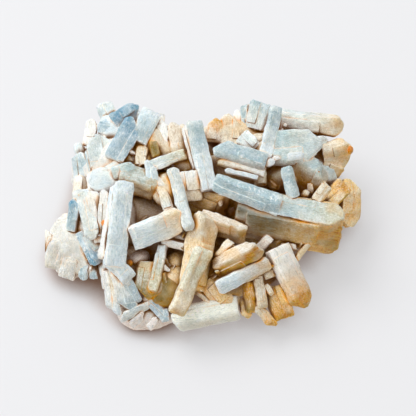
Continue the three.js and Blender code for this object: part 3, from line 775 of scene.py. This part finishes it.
def noise(vector, scale, detail, rough):
    made = node("ShaderNodeTexNoise")
    made.inputs["Scale"].default_value = scale
    made.inputs["Detail"].default_value = detail
    made.inputs["Roughness"].default_value = rough
    links.new(vector, made.inputs["Vector"])
    return made.outputs["Fac"]


def ramp(value, low, high, out_low=0.0, out_high=1.0):
    """A soft step from one amount to another, between two values."""
    made = node("ShaderNodeMapRange", interpolation_type="SMOOTHSTEP")
    made.inputs["From Min"].default_value = low
    made.inputs["From Max"].default_value = high
    made.inputs["To Min"].default_value = out_low
    made.inputs["To Max"].default_value = out_high
    links.new(value, made.inputs["Value"])
    return made.outputs["Result"]


def maths(operation, a, b, clamp=False):
    made = node("ShaderNodeMath", operation=operation, use_clamp=clamp)
    for value, socket in zip((a, b), made.inputs):
        if isinstance(value, (int, float)):
            socket.default_value = value
        else:
            links.new(value, socket)
    return made.outputs["Value"]


def mix(amount, base, over):
    """One colour laid over another by an amount."""
    made = node("ShaderNodeMix", data_type="RGBA")
    for value, socket in zip((amount, base, over), (made.inputs[0], made.inputs[6], made.inputs[7])):
        if isinstance(value, tuple):
            socket.default_value = (*linear(value), 1)
        else:
            links.new(value, socket)
    return made.outputs[2]


position = node("ShaderNodeTexCoord").outputs["Object"]
grain = node("ShaderNodeUVMap", uv_map="grain").outputs["UV"]
body = node("ShaderNodeVertexColor", layer_name="tint").outputs["Color"]
trait = node("ShaderNodeVertexColor", layer_name="trait")
split = node("ShaderNodeSeparateColor")
links.new(trait.outputs["Color"], split.inputs["Color"])
edge = split.outputs["Red"]
stain = split.outputs["Green"]


def occlusion(distance):
    """How open the surface is, as far as a distance."""
    made = node("ShaderNodeAmbientOcclusion", samples=10)
    made.inputs["Distance"].default_value = distance
    return made.outputs["AO"]


openness = occlusion(0.011)
nearness = occlusion(0.004)
closeness = occlusion(0.0015)

streak = noise(grain, 2.2, 4.0, 0.65)
fine_streak = noise(grain, 7.0, 3.0, 0.6)
broad = noise(position, 130.0, 2.0, 0.5)
cloud = noise(position, 330.0, 3.0, 0.55)
patch = noise(position, 900.0, 3.0, 0.6)
speck = noise(position, 2400.0, 3.0, 0.6)

# Milky colour with paler clouds, darker fibres and frosted grains
stained = ramp(stain, 0.0, 1.0, 0.04, 1.0)
body_parts = node("ShaderNodeSeparateColor")
links.new(body, body_parts.inputs["Color"])
paleness = ramp(body_parts.outputs["Green"], 0.0, 0.4, 0.15, 1.0)
shade = mix(stained, COOL_SHADE, HONEY_SHADE)
colour = mix(ramp(streak, 0.42, 0.72, 0.0, 0.4), body, shade)
colour = mix(maths("MULTIPLY", ramp(cloud, 0.42, 0.7, 0.0, 0.42), paleness), colour, CLOUD_WHITE)
colour = mix(ramp(patch, 0.48, 0.68, 0.0, 0.22), colour, shade)
colour = mix(ramp(fine_streak, 0.48, 0.3, 0.0, 0.5), colour, shade)
colour = mix(maths("MULTIPLY", ramp(fine_streak, 0.52, 0.68, 0.0, 0.65), paleness), colour, FIBRE_WHITE)
colour = mix(maths("MULTIPLY", ramp(speck, 0.54, 0.66, 0.0, 0.4), paleness), colour, SPECK_WHITE)

# Painted shade: gold on the sides that face down to the front and right, away from the key light, the more
# where limonite stains it
normal = node("ShaderNodeNewGeometry").outputs["Normal"]
downward = node("ShaderNodeVectorMath", operation="DOT_PRODUCT")
downward.inputs[1].default_value = AWAY_FROM_LIGHT
links.new(normal, downward.inputs[0])
under = ramp(downward.outputs["Value"], -0.3, 0.6)
painted_gold_shade = maths("MULTIPLY", under, stained)
painted_gold_shade = maths("MULTIPLY", painted_gold_shade, ramp(broad, 0.3, 0.65, 1.2, 0.5), True)
layered = mix(ramp(streak, 0.4, 0.62), DEEP_GOLD, PALE_GOLD)
layered = mix(ramp(cloud, 0.42, 0.62, 0.0, 0.7), layered, OLIVE_GOLD)
colour = mix(painted_gold_shade, colour, layered)
blush = maths("MULTIPLY", ramp(broad, 0.48, 0.68), stained)
colour = mix(maths("MULTIPLY", blush, 0.4), colour, HONEY)

# Frost on the crests, limonite along some edges
crest = ramp(edge, 0.5, 0.9)
frosty = maths("MULTIPLY", crest, ramp(patch, 0.58, 0.42))
colour = mix(maths("MULTIPLY", frosty, 0.65), colour, CREST_WHITE)
rusty = maths("MULTIPLY", crest, maths("MULTIPLY", stained, ramp(cloud, 0.46, 0.6)), True)
colour = mix(maths("MULTIPLY", rusty, 0.7), colour, RUST)

# Painted light and shade where crystals meet: milky paint, painted olive shade near the contacts, limonite
# gold with painted shade in the tight seams, painted brown shade in the recesses
# Painted light: pale milky blue where nearby crystals shut clean barite in
milky = maths("MULTIPLY", ramp(nearness, 0.95, 0.5), ramp(stain, 0.5, 0.1, 0.0, 0.6))
colour = mix(milky, colour, MILK_BLUE)
# Painted shade: olive where nearby crystals shut the surface in, stronger on stained barite
painted_olive_shade = maths("MULTIPLY", ramp(nearness, 0.75, 0.2), ramp(stain, 0.0, 0.7, 0.25, 1.0))
colour = mix(maths("MULTIPLY", painted_olive_shade, 0.75), colour, SHADE_OLIVE)
# Limonite gold and painted shade in the tight seams where crystals touch, in broad patches
seam_stain_and_shade = maths("MULTIPLY", ramp(closeness, 0.95, 0.5), ramp(stain, 0.0, 0.8, 0.18, 1.0))
seam_stain_and_shade = maths("MULTIPLY", seam_stain_and_shade, ramp(broad, 0.42, 0.6, 0.1, 1.1), True)
colour = mix(seam_stain_and_shade, colour, LIMONITE_SEAM_SHADE)
# Painted shade: dark brown deep in the recesses, with some limonite brown
hidden = maths("MULTIPLY", ramp(openness, 0.64, 0.3), ramp(stain, 0.0, 0.4, 0.75, 1.0))
colour = mix(maths("MULTIPLY", hidden, 0.97), colour, RECESS_SHADE_BROWN)
pits = maths("MULTIPLY", ramp(speck, 0.46, 0.34), maths("MULTIPLY", stained, 0.5))
colour = mix(pits, colour, PIT_BROWN)
rich = node("ShaderNodeHueSaturation")
rich.inputs["Saturation"].default_value = SATURATION
links.new(colour, rich.inputs["Color"])
colour = rich.outputs["Color"]
links.new(colour, shader.inputs["Base Color"])

# A painted glow: emission that stands in for light coming through the crystals into their seams
through = maths("MULTIPLY", ramp(openness, 0.2, 0.55), ramp(openness, 1.0, 0.55))
through = maths("MULTIPLY", through, ramp(stain, 0.1, 0.7, 0.46, 0.34))
through = maths("ADD", through, maths("MULTIPLY", ramp(closeness, 1.0, 0.5), 0.08))
links.new(colour, shader.inputs["Emission Color"])
links.new(through, shader.inputs["Emission Strength"])

# A waxy to glassy gloss over a milky body
rough = ramp(cloud, 0.3, 0.7, 0.22, 0.48)
links.new(rough, shader.inputs["Roughness"])
shader.inputs["IOR"].default_value = 1.6
shader.inputs["Specular IOR Level"].default_value = 0.32
shader.inputs["Subsurface Weight"].default_value = 0.85
shader.inputs["Subsurface Radius"].default_value = (1.0, 0.9, 0.75)
shader.inputs["Subsurface Scale"].default_value = 0.004

# Fine relief of fibres and grains, and softened edges
relief = maths("ADD", streak, maths("MULTIPLY", fine_streak, 0.8))
relief = maths("ADD", relief, maths("MULTIPLY", patch, 0.9))
relief = maths("ADD", relief, maths("MULTIPLY", speck, 0.4))
soft = node("ShaderNodeBevel", samples=6)
soft.inputs["Radius"].default_value = 0.0003
bump = node("ShaderNodeBump")
links.new(soft.outputs["Normal"], bump.inputs["Normal"])
bump.inputs["Strength"].default_value = 1.0
bump.inputs["Distance"].default_value = 0.0006
links.new(relief, bump.inputs["Height"])
links.new(bump.outputs["Normal"], shader.inputs["Normal"])
whole.data.materials.clear()
whole.data.materials.append(material)

# The stage: a plain white table with a painted brown contact shadow close to the cluster, standing in for
# shadow and for light tinted by the stained crystals, with soft light from the upper left and back. The
# camera looks down on the display side.
CONTACT_REACH = 0.012
TABLE_GLOW = 0.455
SKY_FROM = Vector((-0.65, 0.4, 0.65)).normalized()
KEY_FROM = Vector((-0.78, 0.62, math.tan(math.radians(56)))).normalized()
KEY_DISTANCE = 1.1
KEY_SIZE = 0.7
KEY_POWER = 8.6
VIEW_CENTRE = seen_at(1.2, 2.4, 15) * MILLIMETRE
VIEW_DISTANCE = 2
VIEW_WIDE = 0.1248
SENSOR_WIDE = 36
bpy.ops.mesh.primitive_plane_add(size=3)
floor = bpy.context.object
floor.name = "floor"
table_white = bpy.data.materials.new("floor")
table_white.use_nodes = True
floor_nodes = table_white.node_tree.nodes
floor_links = table_white.node_tree.links
floor_shader = floor_nodes["Principled BSDF"]
floor_shader.inputs["Roughness"].default_value = 0.8
# Painted contact shadow: where the cluster shuts the table in, its colour and glow turn brown
near = floor_nodes.new("ShaderNodeAmbientOcclusion")
near.inputs["Distance"].default_value = CONTACT_REACH
shut = floor_nodes.new("ShaderNodeMapRange")
shut.inputs["From Min"].default_value = 0.25
shut.inputs["From Max"].default_value = 0.72
floor_links.new(near.outputs["AO"], shut.inputs["Value"])
for socket, contact_shadow, light in (
    ("Base Color", (0.2, 0.1, 0.05, 1), (0.272, 0.272, 0.278, 1)),
    ("Emission Color", (0.2, 0.12, 0.08, 1), (0.975, 0.98, 1, 1)),
):
    blend = floor_nodes.new("ShaderNodeMix")
    blend.data_type = "RGBA"
    blend.inputs[6].default_value = contact_shadow
    blend.inputs[7].default_value = light
    floor_links.new(shut.outputs["Result"], blend.inputs[0])
    floor_links.new(blend.outputs[2], floor_shader.inputs[socket])
floor_shader.inputs["Emission Strength"].default_value = TABLE_GLOW
floor.data.materials.append(table_white)

world = bpy.data.worlds.new("studio")
bpy.context.scene.world = world
world.use_nodes = True
sky = world.node_tree
direction = sky.nodes.new("ShaderNodeTexCoord")
towards = sky.nodes.new("ShaderNodeVectorMath")
towards.operation = "DOT_PRODUCT"
towards.inputs[1].default_value = SKY_FROM
glow = sky.nodes.new("ShaderNodeMapRange")
glow.inputs["From Min"].default_value = -0.7
glow.inputs["From Max"].default_value = 0.9
glow.inputs["To Min"].default_value = 0.4
glow.inputs["To Max"].default_value = 1.2
sky.links.new(direction.outputs["Generated"], towards.inputs[0])
sky.links.new(towards.outputs["Value"], glow.inputs["Value"])
sky.links.new(glow.outputs["Result"], sky.nodes["Background"].inputs["Strength"])
sky.nodes["Background"].inputs["Color"].default_value = (1, 1, 1, 1)

bpy.ops.object.light_add(type="AREA")
light = bpy.context.object
light.name = "key"
light.location = KEY_FROM * KEY_DISTANCE
light.rotation_euler = KEY_FROM.to_track_quat("Z", "Y").to_euler()
light.data.size = KEY_SIZE
light.data.energy = KEY_POWER

camera = bpy.data.cameras.new("camera")
holder = bpy.data.objects.new("camera", camera)
bpy.context.scene.collection.objects.link(holder)
bpy.context.scene.camera = holder
holder.location = VIEW_CENTRE + FACING * VIEW_DISTANCE
holder.rotation_euler = FACING.to_track_quat("Z", "Y").to_euler()
camera.sensor_width = SENSOR_WIDE
camera.lens = SENSOR_WIDE * VIEW_DISTANCE / VIEW_WIDE
camera.clip_end = 20
bpy.context.scene.view_settings.view_transform = "Standard"
